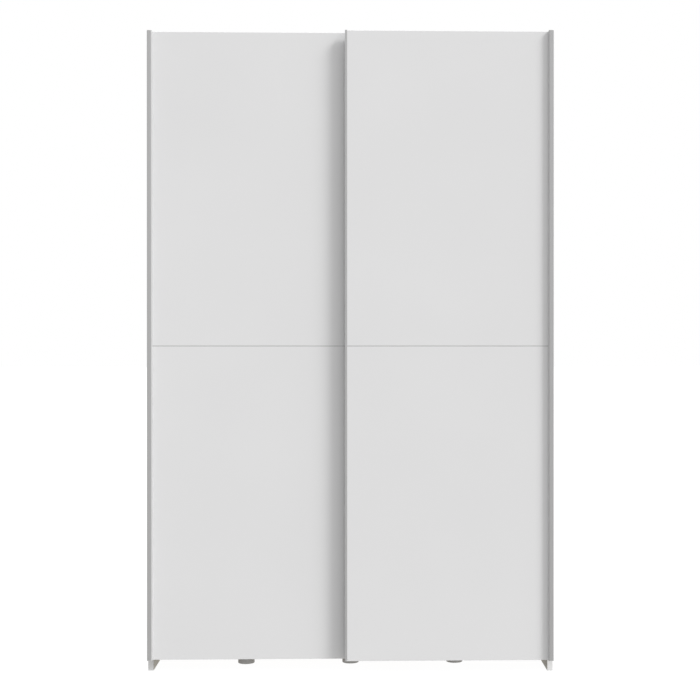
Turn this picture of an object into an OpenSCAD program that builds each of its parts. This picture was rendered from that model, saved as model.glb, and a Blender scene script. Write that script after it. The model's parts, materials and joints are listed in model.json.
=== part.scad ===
// Two-door sliding wardrobe. The doors hang in front of the carcass on two lanes.
// Millimetres. Origin at the middle of the footprint, on the floor.
// +X is to the right, -Y is the front, +Z is up.

/* [Overall size] */
// Width over the two side panels
wardrobe_w = 1208; // [1000:2:1500]
// Depth from the front of the handles to the back
wardrobe_d = 612; // [560:2:680]
// Height to the top of the door hangers
wardrobe_h = 1905; // [1705:5:2205]
// Height of the side panels
carcass_h = 1862; // [1650:2:2150]

/* [Boards] */
// Thickness of every coated board
board_t = 16; // [15:1:19]
// Thickness of the back panels
back_t = 3; // [2:0.5:4]
// Height of the six feet under the bottom panel
foot_h = 50; // [40:2:80]
// Diameter of a foot
foot_d = 50; // [40:1:60]
// Distance from the left side panel's front edge to the front feet's middle
foot_setback = 99; // [80:1:140]
// Distance between neighbouring feet across the width
foot_pitch = 319; // [250:1:400]

/* [Doors] */
// Distance from the front door's face to the rear door's face
lane_pitch = 34; // [32:1:40]
// Height of a door's boards together
door_h = 1862.5; // [1650:0.5:2150]
// Height of the doors' lower edge above the floor
door_bottom = 38.5; // [30:0.5:60]
// Width by which the closed doors overlap
door_overlap = 32; // [20:1:60]
// Distance from the side panels' outer faces to the handles' outer faces
door_inset = 3; // [0:0.5:8]
// Distance from a door's back to the side panel behind it
door_gap = 14; // [6:1:20]
// Travel of each door
door_travel = 568; // [400:1:568]
// Depth by which the handle profiles stand out from the boards
handle_depth = 15; // [8:1:15]
// Width of a handle profile
handle_w = 14.5; // [12:0.5:18]
// Width of the edge strips on the inner door edges
strip_w = 6.5; // [5:0.5:12]
// Width of the joint line between a door's two boards
joint_w = 2.2; // [1:0.2:5]

/* [Interior] */
// Height of the two hat compartments
hat_space_h = 250; // [200:5:350]
// Number of loose shelves in the left bay
loose_shelves = 3; // [3:1:3]

/* [Part to show] */
// Name of the sub-part to draw, or all

/* [Hidden] */
$fn = 48;

// Sub-parts, one module each

// Clearances
fit_gap = 0.05;
shelf_gap = 0.75;
shelf_back_gap = 2;
tiny = 0.01;

// Front to back: handle faces, door boards, then the carcass
front_y = -wardrobe_d / 2;
back_y = wardrobe_d / 2;
front_face_y = front_y + handle_depth;
rear_face_y = front_face_y + lane_pitch;
front_door_back_y = front_face_y + board_t;
rear_door_back_y = rear_face_y + board_t;
side_right_y = front_door_back_y + door_gap;
side_left_y = rear_door_back_y + door_gap;
nail_head_t = 0.6;
back_outer_y = back_y - nail_head_t;
back_inner_y = back_outer_y - back_t;

// Across: side panels and the two bays
side_x = wardrobe_w / 2;
inner_x = side_x - board_t;
half_board = board_t / 2;
bay_w = inner_x - half_board;

// Upwards: bottom panel, shelves and top panel
bottom_top_z = foot_h + board_t;
top_under_z = carcass_h - board_t;
hat_shelf_z = top_under_z - hat_space_h - board_t;
loose_space = hat_shelf_z - bottom_top_z - loose_shelves * board_t;
loose_pitch = loose_space / (loose_shelves + 1) + board_t;
shelf_setback = 20;

// Doors
door_outer_x = side_x - door_inset;
door_inner_x = door_overlap / 2;
door_top_z = door_bottom + door_h;
joint_z = door_bottom + door_h / 2;
handle_wall = 1.5;
handle_corner_r = 3.5;
handle_outer_r = 1.5;
strip_wall = 1.2;
cap_t = 1.25;
profile_rise = 2;
profile_top_z = door_top_z + profile_rise;
tongue_t = 3;
tongue_h = 6;
tongue_gap = 0.1;

// Hangers, rollers and the double track
steel_t = 1.5;
bend_r = 2;
hanger_w = 60;
hanger_drop = 75;
hanger_edge = 60;
lane_offset = 36;
rear_lane_y = rear_door_back_y + lane_offset;
front_lane_y = rear_lane_y + lane_pitch;
roller_r = 11;
flange_r = 13.5;
roller_half_w = 4.5;
tread_half_w = 2.25;
lane_half_t = 1.5;
lane_h = 8.5;
track_base_t = 2.5;
track_top_z = carcass_h + lane_h;
roll_gap = 0.3;
roller_z = track_top_z + roll_gap + roller_r;
axle_r = 3;
axle_head_r = 5.5;
axle_head_t = 2;
axle_side_gap = 0.5;
axle_shoulder = 1.5;
rivet_t = 1.2;
tab_offset = 7;
tab_w = 24;
front_arm_z = wardrobe_h - steel_t;
rear_arm_rise = 36.5;
rear_arm_z = carcass_h + rear_arm_rise;
left_hanger_x = -door_outer_x + hanger_edge;
right_hanger_x = door_inner_x - hanger_edge;

// Guides under the doors
guide_w = 40;
guide_rise = 70;
guide_pin_r = 3.5;
guide_stud_r = 2;
guide_pin_top_gap = 1;
guide_arm_back = 9;
channel_half_w = 4;
guide_rail_t = 2;
guide_rail_h = 7;
guide_rail_z = foot_h - guide_rail_h;
guide_arm_drop = 3;
rear_arm_low_z = guide_rail_z - guide_arm_drop;
front_arm_low_z = door_bottom - guide_arm_drop;

// Fasteners
screw_r = 1.75;
screw_head_r = 3.5;
screw_head_t = 1.8;
driver_len = 3.6;
driver_w = 0.8;
driver_depth = 1.2;
carcass_screw_len = 14;
door_screw_len = 12;
cam_r = 7.5;
cam_h = 12.5;
cam_inset = 24;
cam_driver_len = 8;
cam_driver_w = 1.6;
cam_driver_depth = 2;
cam_bolt_r = 3;
cam_bolt_reach = 10;
cam_bolt_hold = 3;
dowel_r = 4;
dowel_len = 30;
dowel_reach = 11;
pin_r = 2.5;
pin_inset = 40;
pin_reach = 8;
partition_pin_reach = 6;
pin_hole_spare = 1;
hole_pitch = 32;

// Rows of feet, joints and shelf pins, front to back
back_foot_setback = 82;
foot_rows = [side_left_y + foot_setback, back_inner_y - back_foot_setback];
joint_ys = [-100, 215];
pin_ys = [side_left_y + shelf_setback + pin_inset, back_inner_y - pin_inset];

// ---------------------------------------------------------------- helpers

// Block between two corners
module block(low, high) {
    translate(low)
        cube(high - low);
}

// Rod along X, from x0 to x1
module rod_x(x0, x1, y, z, r) {
    translate([x0, y, z])
        rotate([0, 90, 0])
            cylinder(r = r, h = x1 - x0);
}

// Rod along Y, from y0 to y1
module rod_y(x, y0, y1, z, r) {
    translate([x, y0, z])
        rotate([-90, 0, 0])
            cylinder(r = r, h = y1 - y0);
}

// Cross-shaped driver recess, open at z = 0 and cut downwards
module cross_recess(length, width, depth) {
    for (size = [[length, width], [width, length]])
        translate([-size[0] / 2, -size[1] / 2, -depth])
            cube([size[0], size[1], depth + 1]);
}

// Countersunk screw along its own +Z, head face at z = 0, point at -length.
// With a clearance it is the hole for that screw, and has no driver recess.
module countersunk_screw(length, clearance = 0) {
    difference() {
        union() {
            translate([0, 0, -length])
                cylinder(r = screw_r + clearance, h = length);
            translate([0, 0, -screw_head_t])
                cylinder(r1 = screw_r + clearance, r2 = screw_head_r + clearance,
                         h = screw_head_t);
        }
        if (clearance == 0)
            cross_recess(driver_len, driver_w, driver_depth);
    }
}

// Turns a screw so that it is driven towards -Y, with its head facing the back
module facing_back(x, y, z) {
    translate([x, y, z])
        rotate([-90, 0, 0])
            children();
}

// ---------------------------------------------------------------- carcass joints

// Each joint runs along X through a panel's end into the upright beside it.
// sign is +1 where the panel's end points to +X.
module cam_at(end_x, y, z, sign, clearance = 0) {
    translate([end_x - sign * cam_inset, y, z])
        cylinder(r = cam_r + clearance, h = cam_h + clearance);
}

module cam_bolt_at(end_x, y, z, sign, clearance = 0) {
    from_x = end_x - sign * (cam_inset - cam_r + cam_bolt_hold);
    to_x = end_x + sign * (cam_bolt_reach + clearance);
    rod_x(min(from_x, to_x), max(from_x, to_x), y, z, cam_bolt_r + clearance);
}

module dowel_at(end_x, y, z, sign, clearance = 0) {
    from_x = end_x - sign * (dowel_len - dowel_reach + clearance);
    to_x = end_x + sign * (dowel_reach + clearance);
    rod_x(min(from_x, to_x), max(from_x, to_x), y, z, dowel_r + clearance);
}

// Every horizontal joint of the carcass as [panel's end, height, direction]
panel_joints = [
    [-inner_x, foot_h, -1], [inner_x, foot_h, 1],
    [-inner_x, top_under_z, -1], [inner_x, top_under_z, 1],
    [-inner_x, hat_shelf_z, -1], [inner_x, hat_shelf_z, 1]
];

module all_cams(clearance = 0) {
    for (joint = panel_joints)
        for (y = joint_ys)
            cam_at(joint[0], y, joint[1] - clearance, joint[2], clearance);
}

module all_cam_bolts(clearance = 0) {
    for (joint = panel_joints)
        for (y = joint_ys)
            cam_bolt_at(joint[0], y, joint[1] + half_board, joint[2], clearance);
}

// Dowels of the side joints, and upright ones that locate the partition
module all_dowels(clearance = 0) {
    for (joint = panel_joints)
        for (y = joint_ys)
            dowel_at(joint[0], y + hole_pitch, joint[1] + half_board, joint[2], clearance);
    for (z = [bottom_top_z, top_under_z])
        for (y = joint_ys)
            translate([0, y, z - (z == bottom_top_z ? dowel_reach : dowel_len - dowel_reach) - clearance])
                cylinder(r = dowel_r + clearance, h = dowel_len + 2 * clearance);
    // The hat shelves meet the partition from both sides on through dowels
    for (y = joint_ys)
        rod_x(-dowel_len - clearance, dowel_len + clearance, y, hat_shelf_z + half_board,
              dowel_r + clearance);
}

module all_joint_holes() {
    all_cams(fit_gap);
    all_cam_bolts(fit_gap);
    all_dowels(fit_gap);
}

// ---------------------------------------------------------------- shelf pins

function shelf_z(index) = bottom_top_z + index * loose_pitch - board_t;

// Rows of system holes on both sides of the left bay, one hole above and below each shelf
module pin_holes() {
    for (index = [1 : loose_shelves])
        for (step = [-1 : 1])
            for (y = pin_ys) {
                z = shelf_z(index) - pin_r + step * hole_pitch;
                rod_x(-inner_x - pin_reach - pin_hole_spare, -inner_x + tiny, y, z, pin_r + fit_gap);
                rod_x(-half_board - tiny, -half_board + partition_pin_reach + pin_hole_spare,
                      y, z, pin_r + fit_gap);
            }
}

module shelf_pins() {
    color("silver")
        for (index = [1 : loose_shelves])
            for (y = pin_ys) {
                z = shelf_z(index) - pin_r;
                rod_x(-inner_x - pin_reach, -inner_x + pin_reach, y, z, pin_r);
                rod_x(-half_board - pin_reach, -half_board + partition_pin_reach, y, z, pin_r);
            }
}

// ---------------------------------------------------------------- screws in the carcass

// Rail sockets: two screws each, driven into the upright behind them
rail_drop = 60;
rail_z = hat_shelf_z - rail_drop;
rail_y = 30;
socket_t = 4;
socket_collar = 12;
socket_rim = 4;
collar_wall = 2.5;
socket_screw_z = 14;

module socket_screws(clearance = 0) {
    for (dz = [-socket_screw_z, socket_screw_z]) {
        translate([half_board + socket_t, rail_y, rail_z + dz])
            rotate([0, 90, 0])
                countersunk_screw(carcass_screw_len, clearance);
        translate([inner_x - socket_t, rail_y, rail_z + dz])
            rotate([0, -90, 0])
                countersunk_screw(carcass_screw_len, clearance);
    }
}

// Track: screws between the two lanes, down into the top panel
track_end_gap = 10;
track_end_x = side_x - track_end_gap;
track_screw_pitch = 276;
track_screw_y = (rear_lane_y + front_lane_y) / 2;

module track_screws(clearance = 0) {
    for (step = [-2 : 2])
        translate([step * track_screw_pitch, track_screw_y, carcass_h + track_base_t])
            countersunk_screw(carcass_screw_len, clearance);
}

// Guide rail: screws between the channels, up into the bottom panel
module guide_rail_screws(clearance = 0) {
    for (step = [-2 : 2])
        translate([step * track_screw_pitch, track_screw_y, foot_h - guide_rail_t])
            rotate([180, 0, 0])
                countersunk_screw(carcass_screw_len, clearance);
}

// Feet: three screws through each flange
flange_d = 74;
flange_t = 4;
foot_neck = 12;
foot_screw_circle = 30;
foot_screw_turns = [30, 150, 270];
screw_access_h = 16;

module foot_screws_at(x, y, clearance = 0) {
    for (turn = foot_screw_turns)
        translate([x, y, foot_h - flange_t])
            rotate([0, 0, turn])
                translate([foot_screw_circle, 0, 0])
                    rotate([180, 0, 0])
                        countersunk_screw(carcass_screw_len, clearance);
}

module foot_screws(clearance = 0) {
    for (column = [-1 : 1])
        for (y = foot_rows)
            foot_screws_at(column * foot_pitch, y, clearance);
}

// Wall brackets: one on the top panel at each side
bracket_x = 460;
bracket_t = 2;
bracket_w = 30;
bracket_up = 34;
bracket_back = 44;
bracket_screw_ys = [14, 30];
wall_hole_r = 3;
wall_hole_rise = 20;
wall_hole_z = carcass_h + wall_hole_rise;

module wall_bracket_screws(clearance = 0) {
    for (x = [-bracket_x, bracket_x])
        for (dy = bracket_screw_ys)
            translate([x, back_inner_y - dy, carcass_h + bracket_t])
                countersunk_screw(carcass_screw_len, clearance);
}

module all_carcass_screws(clearance = 0) {
    socket_screws(clearance);
    track_screws(clearance);
    guide_rail_screws(clearance);
    foot_screws(clearance);
    wall_bracket_screws(clearance);
}

module carcass_screws() {
    color("silver")
        all_carcass_screws();
}

// ---------------------------------------------------------------- carcass boards

module side_panel_left() {
    color("white")
        difference() {
            block([-side_x, side_left_y, 0], [-inner_x, back_inner_y, carcass_h]);
            all_joint_holes();
            pin_holes();
            all_nails(fit_gap);
        }
}

module side_panel_right() {
    color("white")
        difference() {
            block([inner_x, side_right_y, 0], [side_x, back_inner_y, carcass_h]);
            all_joint_holes();
            socket_screws(fit_gap);
            all_nails(fit_gap);
        }
}

module top_panel() {
    color("white")
        difference() {
            block([-inner_x, side_left_y, top_under_z], [inner_x, back_inner_y, carcass_h]);
            all_joint_holes();
            track_screws(fit_gap);
            wall_bracket_screws(fit_gap);
            all_nails(fit_gap);
        }
}

module bottom_panel() {
    color("white")
        difference() {
            block([-inner_x, side_left_y, foot_h], [inner_x, back_inner_y, bottom_top_z]);
            all_joint_holes();
            guide_rail_screws(fit_gap);
            foot_screws(fit_gap);
            all_nails(fit_gap);
        }
}

module middle_partition() {
    color("white")
        difference() {
            block([-half_board, side_left_y, bottom_top_z],
                  [half_board, back_inner_y, top_under_z]);
            all_joint_holes();
            pin_holes();
            socket_screws(fit_gap);
            all_nails(fit_gap);
        }
}

// Fixed shelf between the partition and a side panel. sign is -1 on the left.
module hat_shelf(sign) {
    low_x = sign < 0 ? -inner_x : half_board;
    color("white")
        difference() {
            block([low_x, side_left_y + shelf_setback, hat_shelf_z],
                  [low_x + bay_w, back_inner_y, hat_shelf_z + board_t]);
            all_joint_holes();
        }
}

module hat_shelf_left() {
    hat_shelf(-1);
}

module hat_shelf_right() {
    hat_shelf(1);
}

module loose_shelf(index) {
    color("white")
        block([-inner_x + shelf_gap, side_left_y + shelf_setback, shelf_z(index)],
              [-half_board - shelf_gap, back_inner_y - shelf_back_gap, shelf_z(index) + board_t]);
}

module shelf_left_low() {
    loose_shelf(1);
}

module shelf_left_middle() {
    loose_shelf(2);
}

module shelf_left_high() {
    loose_shelf(3);
}

// ---------------------------------------------------------------- back

back_edge = 2;
back_seam = 1;
nail_r = 0.8;
nail_head_r = 3;
nail_len = 16;
nail_rows = 12;
nail_columns = 7;
seam_nail_x = 4.2;

// Back panel nailed on the rear edges, meeting its neighbour behind the partition
module back_panel(sign) {
    low_x = sign < 0 ? -side_x + back_edge : back_seam / 2;
    high_x = sign < 0 ? -back_seam / 2 : side_x - back_edge;
    color("tan")
        difference() {
            block([low_x, back_inner_y, foot_h + back_edge],
                  [high_x, back_outer_y, carcass_h - back_edge]);
            all_nails(fit_gap);
        }
}

module back_panel_left() {
    back_panel(-1);
}

module back_panel_right() {
    back_panel(1);
}

module nail_at(x, z, clearance = 0) {
    rod_y(x, back_outer_y - nail_len - clearance, back_outer_y, z, nail_r + clearance);
    if (clearance == 0)
        rod_y(x, back_outer_y, back_y, z, nail_head_r);
}

// Nails up the side panels and the partition, and along the top and bottom panels
module all_nails(clearance = 0) {
    row_pitch = (carcass_h - foot_h - 2 * board_t) / nail_rows;
    column_pitch = bay_w / nail_columns;
    for (row = [0 : nail_rows - 1]) {
        z = bottom_top_z + (row + 0.5) * row_pitch;
        for (x = [-inner_x - half_board, -seam_nail_x, seam_nail_x, inner_x + half_board])
            nail_at(x, z, clearance);
    }
    for (column = [0 : nail_columns - 1]) {
        x = half_board + (column + 0.5) * column_pitch;
        for (side = [-1, 1])
            for (z = [foot_h + half_board, carcass_h - half_board])
                nail_at(side * x, z, clearance);
    }
}

module back_nails() {
    color("gray")
        all_nails();
}

// ---------------------------------------------------------------- hanging rail

rail_w = 15;
rail_h = 30;
rail_wall = 1.2;

// Upright oval, the section of the hanging rail, grown by extra
module rail_section(extra = 0) {
    r = rail_w / 2 + extra;
    rise = (rail_h - rail_w) / 2;
    for (side = [-rise, rise])
        translate([side, 0])
            circle(r = r);
    translate([-rise, -r])
        square([2 * rise, 2 * r]);
}

module along_rail(x0, x1) {
    translate([x0, rail_y, rail_z])
        rotate([0, 90, 0])
            linear_extrude(x1 - x0)
                children();
}

module hanging_rail() {
    color("silver")
        along_rail(half_board + socket_t, inner_x - socket_t)
            difference() {
                rail_section();
                rail_section(-rail_wall);
            }
}

// Plate with a raised collar round the rail's end
module rail_socket(face_x, sign) {
    plate_x = sign > 0 ? face_x : face_x - socket_t;
    collar_x = sign > 0 ? face_x + socket_t : face_x - socket_t - socket_collar;
    difference() {
        union() {
            along_rail(plate_x, plate_x + socket_t)
                rail_section(socket_rim);
            along_rail(collar_x, collar_x + socket_collar)
                difference() {
                    rail_section(collar_wall);
                    rail_section(fit_gap);
                }
        }
        socket_screws(fit_gap);
    }
}

module rail_sockets() {
    color("silver") {
        rail_socket(half_board, 1);
        rail_socket(inner_x, -1);
    }
}

// ---------------------------------------------------------------- track and guide rail

track_front = 20;
track_back = 16;
track_lip_t = 2;
track_lip_h = 3;

// Base plate with one upright rib per lane and a low lip along both edges
module track_section() {
    front_edge = rear_lane_y - track_front;
    back_edge_y = front_lane_y + track_back;
    translate([front_edge, 0])
        square([back_edge_y - front_edge, track_base_t]);
    for (lane = [rear_lane_y, front_lane_y])
        translate([lane - lane_half_t, 0])
            square([2 * lane_half_t, lane_h]);
    for (edge = [front_edge, back_edge_y - track_lip_t])
        translate([edge, 0])
            square([track_lip_t, track_base_t + track_lip_h]);
}

// Extrudes a section drawn in Y and Z along X, from -half to +half
module along_x(half, z) {
    translate([-half, 0, z])
        rotate([90, 0, 90])
            linear_extrude(2 * half)
                children();
}

module top_track() {
    color("silver")
        difference() {
            along_x(track_end_x, carcass_h)
                track_section();
            track_screws(fit_gap);
        }
}

stop_len = 20;
stop_half_w = 8;
stop_over_axle = 4;
stop_gap = 1.5;

// Rubber block over a rib, with its face at the end of a roller's way
module track_stop(face_x, lane, sign) {
    low_x = sign > 0 ? face_x : face_x - stop_len;
    difference() {
        block([low_x, lane - stop_half_w, carcass_h + track_base_t],
              [low_x + stop_len, lane + stop_half_w, roller_z + stop_over_axle]);
        block([low_x - 1, lane - lane_half_t - fit_gap, carcass_h],
              [low_x + stop_len + 1, lane + lane_half_t + fit_gap, track_top_z + fit_gap]);
    }
}

module track_stops() {
    reach = flange_r + stop_gap;
    color("dimgray") {
        track_stop(left_hanger_x - reach, rear_lane_y, -1);
        track_stop(right_hanger_x + door_travel + reach, rear_lane_y, 1);
        track_stop(-left_hanger_x + reach, front_lane_y, 1);
        track_stop(-right_hanger_x - door_travel - reach, front_lane_y, -1);
    }
}

channel_wall = 2;
guide_rail_front = 6;
guide_rail_end_gap = 2;

// Plate under the bottom panel with two channels that open downwards
module guide_rail_section() {
    front_edge = rear_lane_y - channel_half_w - guide_rail_front;
    back_edge_y = front_lane_y + channel_half_w + channel_wall;
    translate([front_edge, guide_rail_h - guide_rail_t])
        square([back_edge_y - front_edge, guide_rail_t]);
    for (lane = [rear_lane_y, front_lane_y])
        for (side = [-1, 1])
            translate([lane + side * (channel_half_w + channel_wall / 2) - channel_wall / 2, 0])
                square([channel_wall, guide_rail_h]);
}

module bottom_guide_rail() {
    color("silver")
        difference() {
            along_x(inner_x - guide_rail_end_gap, guide_rail_z)
                guide_rail_section();
            guide_rail_screws(fit_gap);
        }
}

// ---------------------------------------------------------------- feet and wall brackets

// Round plastic foot with a screw flange and a soft lower edge
module foot_at(column, row) {
    edge = 1;
    foot_r = foot_d / 2;
    color("gray")
        translate([column * foot_pitch, foot_rows[row], 0])
            difference() {
                rotate_extrude()
                    polygon([
                        [0, 0], [foot_r - edge, 0], [foot_r, edge], [foot_r, foot_h - foot_neck],
                        [flange_d / 2, foot_h - flange_t], [flange_d / 2, foot_h], [0, foot_h]
                    ]);
                translate([-column * foot_pitch, -foot_rows[row], 0])
                    foot_screws(fit_gap);
                translate([-column * foot_pitch, -foot_rows[row], 0])
                    foot_screw_access(column, row);
            }
}

// Clear shafts below the screw heads, so that they can be driven past the foot's cone
module foot_screw_access(column, row) {
    for (turn = foot_screw_turns)
        translate([column * foot_pitch, foot_rows[row], foot_h - screw_access_h])
            rotate([0, 0, turn])
                translate([foot_screw_circle, 0, 0])
                    cylinder(r = screw_head_r + fit_gap, h = screw_access_h - flange_t);
}

module foot_front_left() {
    foot_at(-1, 0);
}

module foot_front_middle() {
    foot_at(0, 0);
}

module foot_front_right() {
    foot_at(1, 0);
}

module foot_back_left() {
    foot_at(-1, 1);
}

module foot_back_middle() {
    foot_at(0, 1);
}

module foot_back_right() {
    foot_at(1, 1);
}

module wall_brackets() {
    color("silver")
        for (x = [-bracket_x, bracket_x])
            difference() {
                union() {
                    block([x - bracket_w / 2, back_y - bracket_back, carcass_h],
                          [x + bracket_w / 2, back_y, carcass_h + bracket_t]);
                    block([x - bracket_w / 2, back_y - bracket_t, carcass_h],
                          [x + bracket_w / 2, back_y, carcass_h + bracket_up]);
                }
                rod_y(x, back_y - bracket_t - 1, back_y + 1, wall_hole_z, wall_hole_r);
                wall_bracket_screws(fit_gap);
            }
}

// Cams with a driver recess in the face that shows under the panel
module cam_fittings() {
    color("silver")
        difference() {
            all_cams();
            all_cam_bolts(fit_gap);
            for (joint = panel_joints)
                for (y = joint_ys)
                    translate([joint[0] - joint[2] * cam_inset, y, joint[1]])
                        rotate([180, 0, 45])
                            cross_recess(cam_driver_len, cam_driver_w, cam_driver_depth);
        }
}

module cam_bolts() {
    color("silver")
        all_cam_bolts();
}

module dowels() {
    color("tan")
        all_dowels();
}

// ---------------------------------------------------------------- door

// A door is drawn as the rear one: handle at its left edge, face at rear_face_y.
// The front door is its mirror image, one lane further forward.
module as_front_door() {
    translate([0, -lane_pitch, 0])
        mirror([1, 0, 0])
            children();
}

board_left_x = -door_outer_x + handle_wall;
board_right_x = door_inner_x - strip_wall;

// Groove for the joint strip's tongue, along the joint edge of both boards
module tongue_groove() {
    block([board_left_x - 1, rear_face_y + half_board - tongue_t / 2 - tongue_gap,
           joint_z - joint_w / 2 - tongue_h - tongue_gap],
          [board_right_x + 1, rear_face_y + half_board + tongue_t / 2 + tongue_gap,
           joint_z + joint_w / 2 + tongue_h + tongue_gap]);
}

module door_board(low_z, high_z) {
    difference() {
        block([board_left_x, rear_face_y, low_z], [board_right_x, rear_door_back_y, high_z]);
        tongue_groove();
        door_screw_set(fit_gap);
    }
}

module upper_board() {
    color("white")
        door_board(joint_z + joint_w / 2, door_top_z);
}

module lower_board() {
    color("white")
        door_board(door_bottom, joint_z - joint_w / 2);
}

// Strip that shows as the joint line and keys the two boards together
module joint_strip() {
    color("silver") {
        block([board_left_x, rear_face_y, joint_z - joint_w / 2],
              [board_right_x, rear_door_back_y, joint_z + joint_w / 2]);
        block([board_left_x, rear_face_y + half_board - tongue_t / 2,
               joint_z - joint_w / 2 - tongue_h],
              [board_right_x, rear_face_y + half_board + tongue_t / 2,
               joint_z + joint_w / 2 + tongue_h]);
    }
}

// Handle profile seen from above: hollow grip, outer wall and a lip behind the board.
// Both front corners are round, the one on the grip's side more.
module handle_outline() {
    corner_x = handle_w - handle_corner_r;
    back = handle_depth + board_t;
    polygon([
        [0, handle_outer_r], [handle_outer_r, handle_outer_r], [handle_outer_r, 0],
        [corner_x, 0], [corner_x, handle_corner_r], [handle_w, handle_corner_r],
        [handle_w, handle_depth], [handle_wall, handle_depth], [handle_wall, back],
        [handle_w, back], [handle_w, back + strip_wall], [0, back + strip_wall]
    ]);
    translate([corner_x, handle_corner_r])
        circle(r = handle_corner_r);
    translate([handle_outer_r, handle_outer_r])
        circle(r = handle_outer_r);
}

module handle_hollow() {
    polygon([
        [handle_wall, handle_wall], [handle_w - handle_corner_r, handle_wall],
        [handle_w - handle_wall, handle_corner_r],
        [handle_w - handle_wall, handle_depth - handle_wall],
        [handle_wall, handle_depth - handle_wall]
    ]);
}

module at_handle(z, height) {
    translate([-door_outer_x, rear_face_y - handle_depth, z])
        linear_extrude(height)
            children();
}

module handle() {
    color("silver")
        at_handle(door_bottom + cap_t, profile_top_z - door_bottom - 2 * cap_t)
            difference() {
                handle_outline();
                handle_hollow();
            }
}

// Edge strip seen from above: a U round the board's inner edge
module strip_outline() {
    difference() {
        translate([-strip_w, -strip_wall])
            square([strip_w, board_t + 2 * strip_wall]);
        translate([-strip_w - 1, 0])
            square([strip_w + 1 - strip_wall, board_t]);
    }
}

module at_strip(z, height) {
    translate([door_inner_x, rear_face_y, z])
        linear_extrude(height)
            children();
}

module edge_strip() {
    color("silver")
        at_strip(door_bottom + cap_t, profile_top_z - door_bottom - 2 * cap_t)
            strip_outline();
}

// Plastic caps on both ends of both profiles; the handle's plug into its hollow
module end_caps() {
    plug = 8;
    plug_gap = 0.5;
    plug_size = [handle_w - handle_corner_r - handle_wall - 2 * plug_gap,
                 handle_depth - 2 * (handle_wall + plug_gap)];
    color("gray")
        for (z = [door_bottom, profile_top_z - cap_t]) {
            at_handle(z, cap_t)
                handle_outline();
            at_strip(z, cap_t)
                strip_outline();
            plug_z = z == door_bottom ? z + cap_t - tiny : z - plug + tiny;
            at_handle(plug_z, plug)
                translate([handle_wall + plug_gap, handle_wall + plug_gap])
                    square(plug_size);
        }
}

// Hanger places across the door, and the screws of hangers, guides and joiner plates
hanger_xs = [left_hanger_x, right_hanger_x];
guide_xs = hanger_xs;
plate_inset = 60;
plate_xs = [left_hanger_x + plate_inset, right_hanger_x - plate_inset];
plate_w = 40;
plate_h = 120;
plate_screw_x = 10;
plate_screw_z = 44;
hanger_screw_x = 20;
hanger_screw_drops = [18, 46];
guide_screw_x = 12;
guide_screw_rise = 46;

module door_screw_set(clearance = 0) {
    screw_y = rear_door_back_y + steel_t;
    for (x = hanger_xs)
        for (dx = [-hanger_screw_x, hanger_screw_x])
            for (dz = hanger_screw_drops)
                facing_back(x + dx, screw_y, door_top_z - dz)
                    countersunk_screw(door_screw_len, clearance);
    for (x = guide_xs)
        for (dx = [-guide_screw_x, guide_screw_x])
            facing_back(x + dx, screw_y, door_bottom + guide_screw_rise)
                countersunk_screw(door_screw_len, clearance);
    for (x = plate_xs)
        for (dx = [-plate_screw_x, plate_screw_x])
            for (dz = [-plate_screw_z, plate_screw_z])
                facing_back(x + dx, screw_y, joint_z + dz)
                    countersunk_screw(door_screw_len, clearance);
}

module door_screws() {
    color("silver")
        door_screw_set();
}

module joiner_plates() {
    color("silver")
        difference() {
            for (x = plate_xs)
                block([x - plate_w / 2, rear_door_back_y, joint_z - plate_h / 2],
                      [x + plate_w / 2, rear_door_back_y + steel_t, joint_z + plate_h / 2]);
            door_screw_set(fit_gap);
        }
}

// ---------------------------------------------------------------- hangers and rollers

// What a bend along X takes off a square corner at (y, z). The sheet lies on the side of
// the corner that y_side and z_side point to.
module bend_waste(x, width, y, z, y_side, z_side) {
    middle_y = y + y_side * bend_r;
    middle_z = z + z_side * bend_r;
    difference() {
        block([x - width / 2 - 1, min(y - y_side, middle_y), min(z - z_side, middle_z)],
              [x + width / 2 + 1, max(y - y_side, middle_y), max(z - z_side, middle_z)]);
        rod_x(x - width / 2 - 2, x + width / 2 + 2, middle_y, middle_z, bend_r);
    }
}

// Bent steel: a leg on the door's back, an arm over the track, a tab down to the axle
module hanger(x, lane, arm_z) {
    tab_y = lane + tab_offset;
    arm_top_z = arm_z + steel_t;
    color("silver")
        difference() {
            union() {
                block([x - hanger_w / 2, rear_door_back_y, door_top_z - hanger_drop],
                      [x + hanger_w / 2, rear_door_back_y + steel_t, arm_top_z]);
                block([x - hanger_w / 2, rear_door_back_y, arm_z],
                      [x + hanger_w / 2, tab_y + steel_t, arm_top_z]);
                block([x - tab_w / 2, tab_y, roller_z], [x + tab_w / 2, tab_y + steel_t, arm_z]);
                rod_y(x, tab_y, tab_y + steel_t, roller_z, tab_w / 2);
            }
            bend_waste(x, hanger_w, rear_door_back_y, arm_top_z, 1, -1);
            bend_waste(x, hanger_w, tab_y + steel_t, arm_top_z, -1, -1);
            rod_y(x, tab_y - 1, tab_y + steel_t + 1, roller_z, axle_r + fit_gap);
            door_screw_set(fit_gap);
        }
}

// Roller with a flange on both sides of its tread and a ring-shaped recess in both faces
module roller(x, lane) {
    bore_r = axle_r + fit_gap;
    edge = 0.8;
    ring_in = 6;
    ring_out = 9;
    ring_depth = 1;
    ring_y = roller_half_w - ring_depth;
    color("white")
        translate([x, lane, roller_z])
            rotate([90, 0, 0])
                rotate_extrude()
                    polygon([
                        [bore_r, -roller_half_w], [ring_in, -roller_half_w],
                        [ring_in, -ring_y], [ring_out, -ring_y], [ring_out, -roller_half_w],
                        [flange_r - edge, -roller_half_w], [flange_r, -roller_half_w + edge],
                        [roller_r, -tread_half_w], [roller_r, tread_half_w],
                        [flange_r, roller_half_w - edge], [flange_r - edge, roller_half_w],
                        [ring_out, roller_half_w], [ring_out, ring_y], [ring_in, ring_y],
                        [ring_in, roller_half_w], [bore_r, roller_half_w]
                    ]);
}

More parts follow.
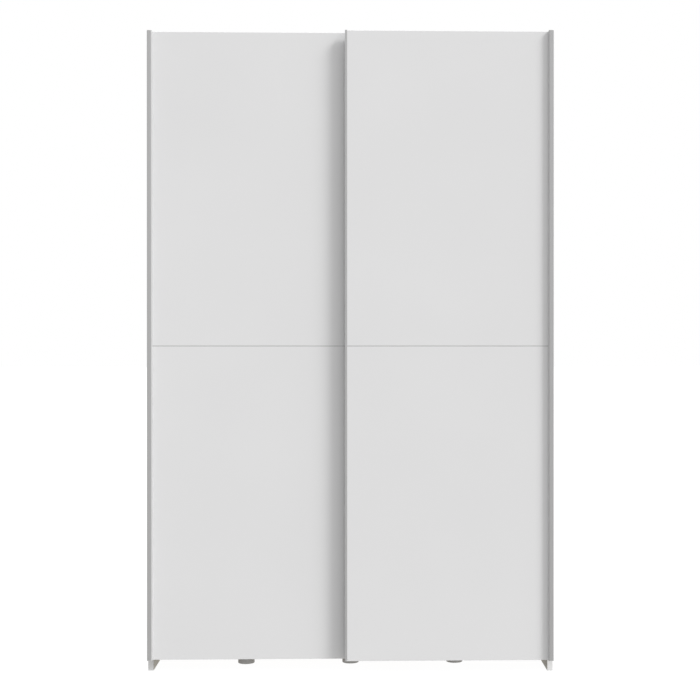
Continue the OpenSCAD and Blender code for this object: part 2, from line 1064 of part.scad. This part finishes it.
// Axle with a head in front of the roller, a shoulder behind it and a riveted end
module axle(x, lane) {
    head_y = lane - roller_half_w - axle_side_gap - axle_head_t;
    tab_back_y = lane + tab_offset + steel_t;
    color("gray") {
        rod_y(x, head_y, head_y + axle_head_t, roller_z, axle_head_r);
        rod_y(x, head_y, tab_back_y + rivet_t, roller_z, axle_r);
        rod_y(x, lane + roller_half_w + axle_side_gap, lane + tab_offset, roller_z,
              axle_r + axle_shoulder);
        rod_y(x, tab_back_y, tab_back_y + rivet_t, roller_z, axle_r + axle_shoulder);
    }
}

// ---------------------------------------------------------------- guides

// Bent steel: a leg on the door's back and an arm back to the channel
module guides(lane, arm_z) {
    color("silver")
        difference() {
            for (x = guide_xs) {
                block([x - guide_w / 2, rear_door_back_y, arm_z],
                      [x + guide_w / 2, rear_door_back_y + steel_t, door_bottom + guide_rise]);
                block([x - guide_w / 2, rear_door_back_y, arm_z],
                      [x + guide_w / 2, lane + guide_arm_back, arm_z + steel_t]);
            }
            for (x = guide_xs) {
                bend_waste(x, guide_w, rear_door_back_y, arm_z, 1, 1);
                translate([x, lane, arm_z - 1])
                    cylinder(r = guide_stud_r + fit_gap, h = steel_t + 2);
            }
            door_screw_set(fit_gap);
        }
}

// Plastic pins that stand in the channel, each with a stud through the arm
module guide_pins(lane, arm_z) {
    pin_top_z = foot_h - guide_rail_t - guide_pin_top_gap;
    color("white")
        for (x = guide_xs)
            translate([x, lane, arm_z]) {
                cylinder(r = guide_stud_r, h = steel_t);
                translate([0, 0, steel_t])
                    cylinder(r = guide_pin_r, h = pin_top_z - arm_z - steel_t);
            }
}

// ---------------------------------------------------------------- door sub-parts

// The front door is drawn one lane forward, so its lane and arms are given in that frame
front_lane_in_door = front_lane_y + lane_pitch;

module rear_door_upper_board() { upper_board(); }
module rear_door_lower_board() { lower_board(); }
module rear_door_joint_strip() { joint_strip(); }
module rear_door_handle() { handle(); }
module rear_door_edge_strip() { edge_strip(); }
module rear_door_end_caps() { end_caps(); }
module rear_door_joiner_plates() { joiner_plates(); }
module rear_door_hanger_left() { hanger(left_hanger_x, rear_lane_y, rear_arm_z); }
module rear_door_hanger_right() { hanger(right_hanger_x, rear_lane_y, rear_arm_z); }
module rear_door_roller_left() { roller(left_hanger_x, rear_lane_y); }
module rear_door_roller_right() { roller(right_hanger_x, rear_lane_y); }
module rear_door_guides() { guides(rear_lane_y, rear_arm_low_z); }
module rear_door_guide_pins() { guide_pins(rear_lane_y, rear_arm_low_z); }
module rear_door_screws() { door_screws(); }

module rear_door_axles() {
    for (x = hanger_xs)
        axle(x, rear_lane_y);
}

module front_door_upper_board() { as_front_door() upper_board(); }
module front_door_lower_board() { as_front_door() lower_board(); }
module front_door_joint_strip() { as_front_door() joint_strip(); }
module front_door_handle() { as_front_door() handle(); }
module front_door_edge_strip() { as_front_door() edge_strip(); }
module front_door_end_caps() { as_front_door() end_caps(); }
module front_door_joiner_plates() { as_front_door() joiner_plates(); }
module front_door_guides() { as_front_door() guides(front_lane_in_door, front_arm_low_z); }
module front_door_guide_pins() { as_front_door() guide_pins(front_lane_in_door, front_arm_low_z); }
module front_door_screws() { as_front_door() door_screws(); }

module front_door_hanger_left() {
    as_front_door()
        hanger(right_hanger_x, front_lane_in_door, front_arm_z);
}

module front_door_hanger_right() {
    as_front_door()
        hanger(left_hanger_x, front_lane_in_door, front_arm_z);
}

module front_door_roller_left() {
    as_front_door()
        roller(right_hanger_x, front_lane_in_door);
}

module front_door_roller_right() {
    as_front_door()
        roller(left_hanger_x, front_lane_in_door);
}

module front_door_axles() {
    as_front_door()
        for (x = hanger_xs)
            axle(x, front_lane_in_door);
}

// ---------------------------------------------------------------- drawing

side_panel_left();
side_panel_right();
top_panel();
bottom_panel();
middle_partition();
back_panel_left();
back_panel_right();
hat_shelf_left();
hat_shelf_right();
shelf_left_low();
shelf_left_middle();
shelf_left_high();
shelf_pins();
hanging_rail();
rail_sockets();
top_track();
track_stops();
bottom_guide_rail();
foot_front_left();
foot_front_middle();
foot_front_right();
foot_back_left();
foot_back_middle();
foot_back_right();
cam_fittings();
cam_bolts();
dowels();
back_nails();
wall_brackets();
carcass_screws();
rear_door_upper_board();
rear_door_lower_board();
rear_door_joint_strip();
rear_door_handle();
rear_door_edge_strip();
rear_door_end_caps();
rear_door_joiner_plates();
rear_door_hanger_left();
rear_door_hanger_right();
rear_door_roller_left();
rear_door_roller_right();
rear_door_axles();
rear_door_guides();
rear_door_guide_pins();
rear_door_screws();
front_door_upper_board();
front_door_lower_board();
front_door_joint_strip();
front_door_handle();
front_door_edge_strip();
front_door_end_caps();
front_door_joiner_plates();
front_door_hanger_left();
front_door_hanger_right();
front_door_roller_left();
front_door_roller_right();
front_door_axles();
front_door_guides();
front_door_guide_pins();
front_door_screws();
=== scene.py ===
"""Studio scene of the two-door sliding wardrobe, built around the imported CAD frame."""

import json
import math

import bpy
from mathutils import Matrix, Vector

MM = 0.001

# Places of the colour sockets on a Mix node
MIX_A = 6
MIX_B = 7
MIX_RESULT = 2

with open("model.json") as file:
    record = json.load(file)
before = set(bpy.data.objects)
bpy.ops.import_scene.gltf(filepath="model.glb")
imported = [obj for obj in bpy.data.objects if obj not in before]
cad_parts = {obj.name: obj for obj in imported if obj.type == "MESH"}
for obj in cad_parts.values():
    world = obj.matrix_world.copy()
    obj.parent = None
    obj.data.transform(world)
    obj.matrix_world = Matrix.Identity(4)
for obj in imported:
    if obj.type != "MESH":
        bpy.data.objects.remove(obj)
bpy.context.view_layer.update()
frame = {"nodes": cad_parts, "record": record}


# ---------------------------------------------------------------- node helpers


class Shader:
    """A Principled material with short names for the nodes it is built from."""

    def __init__(self, name, sockets=None):
        self.material = bpy.data.materials.new(name)
        self.material.use_nodes = True
        self.tree = self.material.node_tree
        self.tree.nodes.clear()
        self.out = self.tree.nodes.new("ShaderNodeOutputMaterial")
        self.bsdf = self.tree.nodes.new("ShaderNodeBsdfPrincipled")
        self.link(self.bsdf.outputs["BSDF"], self.out.inputs["Surface"])
        for socket, value in (sockets or {}).items():
            self.bsdf.inputs[socket].default_value = value

    def link(self, source, target):
        self.tree.links.new(source, target)

    def place(self, scale=(1, 1, 1)):
        """Object-space position, stretched by scale. CAD nodes sit at the origin, so it is in metres."""
        coords = self.tree.nodes.new("ShaderNodeTexCoord")
        mapping = self.tree.nodes.new("ShaderNodeMapping")
        mapping.inputs["Scale"].default_value = scale
        self.link(coords.outputs["Object"], mapping.inputs["Vector"])
        return mapping.outputs["Vector"]

    def noise(self, size, scale=(1, 1, 1), detail=3.0, roughness=0.5):
        """Noise whose features are about size metres wide."""
        node = self.tree.nodes.new("ShaderNodeTexNoise")
        node.inputs["Scale"].default_value = 1 / size
        node.inputs["Detail"].default_value = detail
        node.inputs["Roughness"].default_value = roughness
        self.link(self.place(scale), node.inputs["Vector"])
        return node.outputs["Fac"]

    def cells(self, size, feature="F1", output="Distance"):
        """Voronoi cells about size metres wide."""
        node = self.tree.nodes.new("ShaderNodeTexVoronoi")
        node.feature = feature
        node.inputs["Scale"].default_value = 1 / size
        self.link(self.place(), node.inputs["Vector"])
        return node.outputs[output]

    def remap(self, value, low, high, new_low=0.0, new_high=1.0):
        """Maps low..high to new_low..new_high and clamps the rest."""
        node = self.tree.nodes.new("ShaderNodeMapRange")
        node.inputs["From Min"].default_value = low
        node.inputs["From Max"].default_value = high
        node.inputs["To Min"].default_value = new_low
        node.inputs["To Max"].default_value = new_high
        self.link(value, node.inputs["Value"])
        return node.outputs["Result"]

    def mix(self, factor, first, second):
        """Colour between first and second; each is a colour or an output."""
        node = self.tree.nodes.new("ShaderNodeMix")
        node.data_type = "RGBA"
        self.link(factor, node.inputs["Factor"])
        for socket, value in ((node.inputs[MIX_A], first), (node.inputs[MIX_B], second)):
            if isinstance(value, tuple):
                socket.default_value = (*value, 1.0)
            else:
                self.link(value, socket)
        return node.outputs[MIX_RESULT]

    def math(self, operation, first, second):
        node = self.tree.nodes.new("ShaderNodeMath")
        node.operation = operation
        for socket, value in zip(node.inputs, (first, second)):
            if isinstance(value, (int, float)):
                socket.default_value = value
            else:
                self.link(value, socket)
        return node.outputs["Value"]

    def soft_edges(self, radius):
        """Normal that rounds every edge by radius."""
        node = self.tree.nodes.new("ShaderNodeBevel")
        node.samples = 8
        node.inputs["Radius"].default_value = radius
        return node.outputs["Normal"]

    def edge_mask(self, radius):
        """1 close to an edge and 0 on a flat face."""
        rounded = self.soft_edges(radius)
        geometry = self.tree.nodes.new("ShaderNodeNewGeometry")
        dot = self.tree.nodes.new("ShaderNodeVectorMath")
        dot.operation = "DOT_PRODUCT"
        self.link(rounded, dot.inputs[0])
        self.link(geometry.outputs["Normal"], dot.inputs[1])
        return self.remap(dot.outputs["Value"], 0.995, 0.85)

    def facing(self, directions, start=0.9):
        """1 on faces that point along one of the directions, such as "+z", and 0 elsewhere."""
        geometry = self.tree.nodes.new("ShaderNodeNewGeometry")
        split = self.tree.nodes.new("ShaderNodeSeparateXYZ")
        self.link(geometry.outputs["True Normal"], split.inputs["Vector"])
        mask = None
        for direction in directions:
            along = split.outputs[direction[1].upper()]
            if direction[0] == "-":
                along = self.math("MULTIPLY", along, -1.0)
            side = self.remap(along, start, 0.95)
            mask = side if mask is None else self.math("MAXIMUM", mask, side)
        return mask

    def low_down(self, height):
        """1 on the floor, fading out in blotches around the given height."""
        split = self.tree.nodes.new("ShaderNodeSeparateXYZ")
        self.link(self.place(), split.inputs["Vector"])
        blotch = self.remap(self.noise(30 * MM, detail=4.0), 0.3, 0.7, -0.3 * height, 0.3 * height)
        level = self.math("ADD", split.outputs["Z"], blotch)
        return self.remap(level, 1.4 * height, 0.8 * height)

    def bump(self, height, strength, distance, normal=None):
        node = self.tree.nodes.new("ShaderNodeBump")
        node.inputs["Strength"].default_value = strength
        node.inputs["Distance"].default_value = distance
        self.link(height, node.inputs["Height"])
        if normal is not None:
            self.link(normal, node.inputs["Normal"])
        return node.outputs["Normal"]

    def color(self, value):
        self.link(value, self.bsdf.inputs["Base Color"])

    def rough(self, value):
        self.link(value, self.bsdf.inputs["Roughness"])

    def normal(self, value):
        self.link(value, self.bsdf.inputs["Normal"])


# ---------------------------------------------------------------- materials

# Melamine boards
DOOR_TONES = ((0.744, 0.744, 0.750), (0.758, 0.758, 0.764))
# Carcass boards: the same white board as the doors, toned greyer as painted shade so the brightly lit top
# and sides do not wash out
SHADED_CARCASS_TONES = ((0.675, 0.675, 0.672), (0.70, 0.70, 0.697))
SPECK_TONE = (0.70, 0.70, 0.702)
WORN_TONE = (0.81, 0.81, 0.805)
# Edge band: paler than the board, its tone raised as painted light so the panel fronts below the doors
# come out bright
LIT_EDGE_BAND_TONE = (0.81, 0.81, 0.81)
CHIP_TONES = ((0.40, 0.29, 0.17), (0.62, 0.50, 0.34))
CHIP_GAP_TONE = (0.30, 0.20, 0.11)
# Painted shade: a darker, warmer tone in dust-like blotches low on the side panels' inner faces under the
# wardrobe
FLOOR_SHADE_TONE = (0.65, 0.635, 0.575)
FLOOR_SHADE_H = 50 * MM

# Hardboard backs
FIBRE_TONES = ((0.26, 0.155, 0.08), (0.50, 0.335, 0.20))
STREAK_TONE = (0.27, 0.165, 0.09)
STAIN_TONE = (0.47, 0.33, 0.21)
FLECK_TONE = (0.17, 0.10, 0.055)
LACQUER_TONES = ((0.735, 0.735, 0.73), (0.70, 0.70, 0.692))

# Metals
PROFILE_TONES = ((0.425, 0.425, 0.427), (0.47, 0.47, 0.472))
# Painted reflection: paler grip faces of the handles, standing in for the board they reflect
PAINTED_SHEEN_TONE = (0.62, 0.62, 0.622)
NICK_TONE = (0.72, 0.72, 0.73)
ZINC_TONES = ((0.50, 0.51, 0.53), (0.68, 0.69, 0.70))
TARNISH_TONE = (0.44, 0.43, 0.40)
CHROME_TONES = ((0.80, 0.80, 0.81), (0.74, 0.745, 0.76))
CAST_TONES = ((0.40, 0.41, 0.42), (0.56, 0.57, 0.58))
CAST_RUBBED_TONE = (0.74, 0.74, 0.75)

# Plastics, rubber and wood
PLASTIC_GREY = ((0.52, 0.52, 0.512), (0.56, 0.56, 0.552))
NYLON_WHITE = ((0.74, 0.74, 0.72), (0.80, 0.80, 0.785))
RUB_GAIN = 1.35
RUBBER_TONES = ((0.022, 0.022, 0.023), (0.075, 0.074, 0.07))
BEECH_TONES = ((0.55, 0.36, 0.20), (0.72, 0.52, 0.32))
RAY_TONE = (0.38, 0.22, 0.11)


def white_board(name, tones, bare=(), lit_banded=(), floor_shaded=()):
    """White melamine on chipboard: pearl-grained, satin and worn at the edges.

    It is bare chipboard on the faces named in bare. It has a paler edge band, its tone raised as painted
    light, on the faces given for the band, and is painted darker and warmer near the floor, as painted
    shade in dust-like blotches, on the faces given for floor shade.
    """
    s = Shader(name, {"Specular IOR Level": 0.3})
    clouds = s.noise(0.35, detail=2.0)
    specks = s.noise(1.2 * MM, detail=2.0)
    tone = s.mix(s.remap(clouds, 0.3, 0.7), *tones)
    tone = s.mix(s.remap(specks, 0.62, 0.78, 0.0, 0.35), tone, SPECK_TONE)
    wear = s.math("MULTIPLY", s.edge_mask(0.7 * MM), s.remap(s.noise(9 * MM, detail=4.0), 0.42, 0.62))
    tone = s.mix(s.math("MULTIPLY", wear, 0.35), tone, WORN_TONE)
    if lit_banded:
        # Painted light: paler edge band tone on the fronts
        tone = s.mix(s.facing(lit_banded), tone, LIT_EDGE_BAND_TONE)
    # Painted shade near the floor, in dust-like blotches
    if floor_shaded:
        tone = s.mix(s.math("MULTIPLY", s.facing(floor_shaded), s.low_down(FLOOR_SHADE_H)), tone, FLOOR_SHADE_TONE)
    rough = s.remap(s.noise(6 * MM, detail=4.0), 0.3, 0.7, 0.38, 0.5)
    pearl = s.bump(s.noise(0.9 * MM, detail=2.0), 0.25, 0.05 * MM, s.soft_edges(0.6 * MM))
    normal = s.bump(s.noise(18 * MM, detail=1.0), 0.12, 0.08 * MM, pearl)
    if bare:
        mask = s.facing(bare)
        chips = s.cells(2.2 * MM, output="Color")
        gaps = s.noise(0.8 * MM, detail=4.0)
        chip_tone = s.mix(s.remap(chips, 0.15, 0.85), *CHIP_TONES)
        chip_tone = s.mix(s.remap(gaps, 0.45, 0.7, 0.0, 0.6), chip_tone, CHIP_GAP_TONE)
        tone = s.mix(mask, tone, chip_tone)
        rough = s.math("MAXIMUM", rough, s.math("MULTIPLY", mask, 0.85))
        pits = s.math("MULTIPLY", mask, s.remap(s.cells(1.6 * MM), 0.0, 0.5))
        normal = s.bump(pits, 0.6, 0.25 * MM, normal)
    s.color(tone)
    s.rough(rough)
    s.normal(normal)
    return s.material


def upright_board(name, floor_shaded=()):
    """Side panel or partition: paler edge band in front, its tone raised as painted light, bare behind
    and at its ends.
    """
    return white_board(name, SHADED_CARCASS_TONES, bare=("+z", "-z", "+y"), lit_banded=("-y",), floor_shaded=floor_shaded)


def back_board():
    """Hardboard: white lacquer on the face towards the room, bare felted fibres behind."""
    s = Shader("hardboard", {"Specular IOR Level": 0.25})
    fibres = s.noise(2.5 * MM, scale=(1, 1, 3.5), detail=6.0, roughness=0.7)
    cross = s.noise(2.5 * MM, scale=(3.5, 1, 1), detail=6.0, roughness=0.7)
    felt = s.math("ADD", s.math("MULTIPLY", fibres, 0.5), s.math("MULTIPLY", cross, 0.5))
    streaks = s.noise(45 * MM, scale=(1, 1, 0.12), detail=5.0, roughness=0.6)
    stains = s.noise(0.25, detail=4.0, roughness=0.6)
    tone = s.mix(s.remap(felt, 0.38, 0.62), *FIBRE_TONES)
    tone = s.mix(s.remap(streaks, 0.4, 0.65, 0.0, 0.45), tone, STREAK_TONE)
    tone = s.mix(s.remap(stains, 0.42, 0.68, 0.0, 0.5), tone, STAIN_TONE)
    flecks = s.remap(s.cells(7 * MM), 0.04, 0.12, 0.6, 0.0)
    tone = s.mix(flecks, tone, FLECK_TONE)
    lacquer = s.facing(("-y",))
    orange_peel = s.noise(4 * MM, detail=2.0)
    white = s.mix(s.remap(streaks, 0.35, 0.7), *LACQUER_TONES)
    s.color(s.mix(lacquer, tone, white))
    felt_rough = s.remap(felt, 0.3, 0.7, 0.72, 0.9)
    s.rough(s.math("SUBTRACT", felt_rough, s.math("MULTIPLY", lacquer, 0.32)))
    fibre_height = s.math("MULTIPLY", felt, s.math("SUBTRACT", 1.0, lacquer))
    bumps = s.bump(fibre_height, 0.6, 0.15 * MM, s.soft_edges(0.4 * MM))
    s.normal(s.bump(orange_peel, 0.12, 0.08 * MM, bumps))
    return s.material


def aluminium(name, along, sheen_faces=()):
    """Satin anodised extrusion with fine drawing lines along one axis.

    It is painted paler on the given grip faces, as a painted reflection of the board beside the handle.
    """
    s = Shader(name, {"Metallic": 0.25, "Anisotropic": 0.3})
    stretch = tuple(0.02 if axis == along else 1.0 for axis in "xyz")
    lines = s.noise(0.8 * MM, scale=stretch, detail=4.0, roughness=0.65)
    cloud = s.noise(60 * MM, detail=2.0)
    tone = s.mix(s.remap(lines, 0.3, 0.7), *PROFILE_TONES)
    tone = s.mix(s.remap(cloud, 0.3, 0.75, 0.0, 0.2), tone, PROFILE_TONES[0])
    if sheen_faces:
        # Painted reflection on the grip faces
        tone = s.mix(s.facing(sheen_faces, 0.3), tone, PAINTED_SHEEN_TONE)
    edge = s.edge_mask(0.5 * MM)
    nicks = s.math("MULTIPLY", edge, s.remap(s.noise(5 * MM, detail=5.0), 0.5, 0.62))
    s.color(s.mix(s.math("MULTIPLY", nicks, 0.6), tone, NICK_TONE))
    s.rough(s.remap(lines, 0.25, 0.75, 0.36, 0.5))
    s.normal(s.bump(lines, 0.12, 0.04 * MM, s.soft_edges(0.35 * MM)))
    return s.material


def zinc_steel():
    """Bright zinc plate over sheet steel, with faint spangle and rolling lines."""
    s = Shader("zinc_plate", {"Metallic": 1.0})
    spangle = s.cells(6 * MM, output="Color")
    grey = s.mix(s.remap(spangle, 0.2, 0.9), *ZINC_TONES)
    tarnish = s.remap(s.noise(14 * MM, detail=5.0), 0.45, 0.75, 0.0, 0.4)
    s.color(s.mix(tarnish, grey, TARNISH_TONE))
    s.rough(s.remap(s.noise(3 * MM, detail=4.0), 0.3, 0.7, 0.28, 0.46))
    s.normal(s.bump(s.noise(1.0 * MM, detail=3.0), 0.15, 0.05 * MM, s.soft_edges(0.4 * MM)))
    return s.material


def chrome():
    """Polished chrome with faint finger marks and hairlines."""
    s = Shader("chrome_plate", {"Metallic": 1.0})
    marks = s.noise(25 * MM, detail=4.0)
    hairlines = s.noise(1.2 * MM, scale=(0.03, 1, 1), detail=3.0)
    s.color(s.mix(s.remap(marks, 0.4, 0.7), *CHROME_TONES))
    s.rough(s.remap(marks, 0.35, 0.7, 0.06, 0.17))
    s.normal(s.bump(hairlines, 0.05, 0.02 * MM, s.soft_edges(0.3 * MM)))
    return s.material


def moulded_plastic(name, tone_low, tone_high, grain=0.7, shine=(0.45, 0.6)):
    """Injection-moulded plastic with a spark-eroded grain and slightly lighter edges."""
    s = Shader(name)
    spots = s.noise(grain * MM, detail=3.0)
    cloud = s.noise(12 * MM, detail=3.0)
    tone = s.mix(s.remap(cloud, 0.3, 0.7), tone_low, tone_high)
    edge = s.edge_mask(0.5 * MM)
    rub = s.math("MULTIPLY", edge, s.remap(s.noise(4 * MM, detail=4.0), 0.4, 0.65, 0.0, 0.5))
    light = tuple(min(1.0, channel * RUB_GAIN) for channel in tone_high)
    s.color(s.mix(rub, tone, light))
    s.rough(s.remap(spots, 0.3, 0.7, *shine))
    s.normal(s.bump(spots, 0.3, 0.06 * MM, s.soft_edges(0.4 * MM)))
    return s.material


def rubber():
    """Matt black rubber with dust in its grain."""
    s = Shader("rubber_block", {"Specular IOR Level": 0.3})
    dust = s.remap(s.noise(3 * MM, detail=6.0), 0.45, 0.75)
    s.color(s.mix(dust, *RUBBER_TONES))
    s.rough(s.remap(dust, 0.0, 1.0, 0.75, 0.92))
    s.normal(s.bump(s.noise(0.6 * MM, detail=3.0), 0.5, 0.08 * MM, s.soft_edges(0.6 * MM)))
    return s.material


def beech():
    """Raw beech dowel: straight grain along X with short dark rays."""
    s = Shader("raw_beech", {"Specular IOR Level": 0.3})
    grain = s.noise(1.2 * MM, scale=(0.08, 1, 1), detail=5.0)
    rays = s.noise(0.7 * MM, scale=(0.3, 1, 1), detail=2.0)
    tone = s.mix(s.remap(grain, 0.3, 0.7), *BEECH_TONES)
    s.color(s.mix(s.remap(rays, 0.6, 0.7, 0.0, 0.6), tone, RAY_TONE))
    s.rough(s.remap(grain, 0.3, 0.7, 0.6, 0.8))
    s.normal(s.bump(grain, 0.4, 0.08 * MM))
    return s.material


def cast_zinc():
    """Die-cast zinc: dull grey, grainy, brighter where a driver has touched it."""
    s = Shader("cast_zinc_cam", {"Metallic": 1.0})
    grain = s.noise(0.8 * MM, detail=4.0)
    tone = s.mix(s.remap(grain, 0.3, 0.7), *CAST_TONES)
    s.color(s.mix(s.math("MULTIPLY", s.edge_mask(0.6 * MM), 0.6), tone, CAST_RUBBED_TONE))
    s.rough(s.remap(grain, 0.3, 0.7, 0.38, 0.58))
    s.normal(s.bump(grain, 0.35, 0.08 * MM, s.soft_edges(0.3 * MM)))
    return s.material


by_slot = {
    "back_board": back_board(),
    "zinc_steel": zinc_steel(),
    "chrome_rail": chrome(),
    "grey_plastic": moulded_plastic("grey_plastic_moulding", *PLASTIC_GREY),
    "white_nylon": moulded_plastic("white_nylon_moulding", *NYLON_WHITE, grain=0.5, shine=(0.32, 0.45)),
    "black_rubber": rubber(),
    "beech_dowel": beech(),
    "cast_zinc": cast_zinc(),
}
level_profile = aluminium("anodised_profile_level", "x")
upright_profiles = {
    # The handles' grip faces get a painted reflection
    "rear_door_handle": aluminium("anodised_rear_handle", "z", sheen_faces=("+x",)),
    "front_door_handle": aluminium("anodised_front_handle", "z", sheen_faces=("-x",)),
    "rear_door_edge_strip": aluminium("anodised_rear_edge_strip", "z"),
    "front_door_edge_strip": aluminium("anodised_front_edge_strip", "z"),
}
door_board = white_board("melamine_door", DOOR_TONES)
level_bare = ("+y", "+x", "-x")
level_board = white_board("melamine_level", SHADED_CARCASS_TONES, bare=level_bare)
special_boards = {
    # The side panels' inner faces get painted shade near the floor
    "side_panel_left": upright_board("melamine_left_side", floor_shaded=("+x",)),
    "side_panel_right": upright_board("melamine_right_side", floor_shaded=("-x",)),
    "middle_partition": upright_board("melamine_partition"),
    "bottom_panel": white_board("melamine_bottom", SHADED_CARCASS_TONES, bare=(*level_bare, "-z")),
}


def board_material(node):
    """Boards show bare chipboard where a factory leaves them unfinished."""
    if "door" in node:
        return door_board
    return special_boards.get(node, level_board)


def dress_nodes():
    """Gives every CAD node the material of its record slot."""
    for entry in frame["record"]["subparts"]:
        node, slot = entry["node"], entry["material_slot"]
        if slot == "aluminium_profile":
            material = upright_profiles.get(node, level_profile)
        elif slot == "white_board":
            material = board_material(node)
        else:
            material = by_slot[slot]
        mesh = frame["nodes"][node].data
        mesh.materials.clear()
        mesh.materials.append(material)


dress_nodes()


# ---------------------------------------------------------------- stage


FLOOR_HALF = 60.0
FLOOR_GLOW = 0.97
FLOOR_TONES = ((0.055, 0.055, 0.055), (0.065, 0.065, 0.065))


def pale_floor():
    """Luminous white floor, so that the wardrobe stands on plain white."""
    s = Shader("pale_floor", {
        "Roughness": 0.9,
        "Emission Strength": FLOOR_GLOW,
        "Emission Color": (1, 1, 1, 1),
    })
    s.color(s.mix(s.noise(0.5, detail=2.0), *FLOOR_TONES))
    return s.material


def make_floor():
    mesh = bpy.data.meshes.new("studio_floor")
    signs = [(-1, -1), (1, -1), (1, 1), (-1, 1)]
    corners = [(x * FLOOR_HALF, y * FLOOR_HALF, 0) for x, y in signs]
    mesh.from_pydata(corners, [], [(0, 1, 2, 3)])
    floor = bpy.data.objects.new("studio_floor", mesh)
    floor.data.materials.append(pale_floor())
    floor.visible_diffuse = False
    floor.visible_glossy = False
    bpy.context.scene.collection.objects.link(floor)


SKY_LIGHT = 1.03
GROUND_LIGHT = 0.465
ZENITH_SHARE = 0.62
HORIZON_BAND = 0.15
ZENITH_START = 0.45
ZENITH_END = 0.9
SKY_TINT = (0.987, 0.996, 1.01)
GROUND_TINT = (1.0, 0.975, 0.93)
SIDE_SHARE = 0.21


def world_remap(tree, value, low, high, new_low=0.0, new_high=1.0):
    """Maps low..high to new_low..new_high in the world's node tree."""
    node = tree.nodes.new("ShaderNodeMapRange")
    node.inputs["From Min"].default_value = low
    node.inputs["From Max"].default_value = high
    node.inputs["To Min"].default_value = new_low
    node.inputs["To Max"].default_value = new_high
    tree.links.new(value, node.inputs["Value"])
    return node.outputs["Result"]


def world_product(tree, first, second):
    node = tree.nodes.new("ShaderNodeMath")
    node.operation = "MULTIPLY"
    tree.links.new(first, node.inputs[0])
    tree.links.new(second, node.inputs[1])
    return node.outputs["Value"]


def make_world():
    """Soft light, strongest a little above eye height and from the right, and white behind the object."""
    world = bpy.data.worlds.new("studio")
    bpy.context.scene.world = world
    world.use_nodes = True
    tree = world.node_tree
    tree.nodes.clear()
    coords = tree.nodes.new("ShaderNodeTexCoord")
    direction = tree.nodes.new("ShaderNodeSeparateXYZ")
    tree.links.new(coords.outputs["Generated"], direction.inputs["Vector"])
    height = direction.outputs["Z"]
    horizon = world_remap(tree, height, -HORIZON_BAND, HORIZON_BAND, GROUND_LIGHT, SKY_LIGHT)
    zenith = world_remap(tree, height, ZENITH_START, ZENITH_END, 1.0, ZENITH_SHARE)
    lean = world_remap(tree, direction.outputs["X"], -1, 1, 1 - SIDE_SHARE, 1 + SIDE_SHARE)
    strength = world_product(tree, world_product(tree, horizon, zenith), lean)
    tint = tree.nodes.new("ShaderNodeMix")
    tint.data_type = "RGBA"
    tint.inputs[MIX_A].default_value = (*GROUND_TINT, 1)
    tint.inputs[MIX_B].default_value = (*SKY_TINT, 1)
    tree.links.new(world_remap(tree, height, -HORIZON_BAND, HORIZON_BAND), tint.inputs["Factor"])
    lighting = tree.nodes.new("ShaderNodeBackground")
    tree.links.new(tint.outputs[MIX_RESULT], lighting.inputs["Color"])
    tree.links.new(strength, lighting.inputs["Strength"])
    backdrop = tree.nodes.new("ShaderNodeBackground")
    backdrop.inputs["Color"].default_value = (1, 1, 1, 1)
    rays = tree.nodes.new("ShaderNodeLightPath")
    mix = tree.nodes.new("ShaderNodeMixShader")
    tree.links.new(rays.outputs["Is Camera Ray"], mix.inputs["Fac"])
    tree.links.new(lighting.outputs["Background"], mix.inputs[1])
    tree.links.new(backdrop.outputs["Background"], mix.inputs[2])
    out = tree.nodes.new("ShaderNodeOutputWorld")
    tree.links.new(mix.outputs["Shader"], out.inputs["Surface"])


KEY_TOWARDS = (1.62, -1.0, 1.5)
KEY_ENERGY = 2.1
KEY_ANGLE = 21


def make_key_light():
    """Broad soft light from the upper right front."""
    towards = Vector(KEY_TOWARDS).normalized()
    light = bpy.data.lights.new("key", "SUN")
    light.energy = KEY_ENERGY
    light.angle = math.radians(KEY_ANGLE)
    key = bpy.data.objects.new("key", light)
    key.rotation_mode = "QUATERNION"
    key.rotation_quaternion = towards.to_track_quat("Z", "Y")
    bpy.context.scene.collection.objects.link(key)


CAMERA_PLACE = (0.0118, -4.4103, 0.9688)
CAMERA_TURN = 1.596
CAMERA_DIP = -0.15
CAMERA_LENS = 71.7
CAMERA_SHIFT = -0.0617


def make_camera():
    """Level camera in front of the wardrobe, turned a little to the right and shifted back."""
    data = bpy.data.cameras.new("camera")
    data.lens = CAMERA_LENS
    data.sensor_width = 36.0
    data.shift_x = CAMERA_SHIFT
    data.clip_start = 0.1
    data.clip_end = 200
    camera = bpy.data.objects.new("camera", data)
    bpy.context.scene.collection.objects.link(camera)
    camera.location = CAMERA_PLACE
    camera.rotation_euler = (math.radians(90 + CAMERA_DIP), 0, math.radians(-CAMERA_TURN))
    bpy.context.scene.camera = camera


make_floor()
make_world()
make_key_light()
make_camera()
bpy.context.scene.view_settings.view_transform = "Standard"
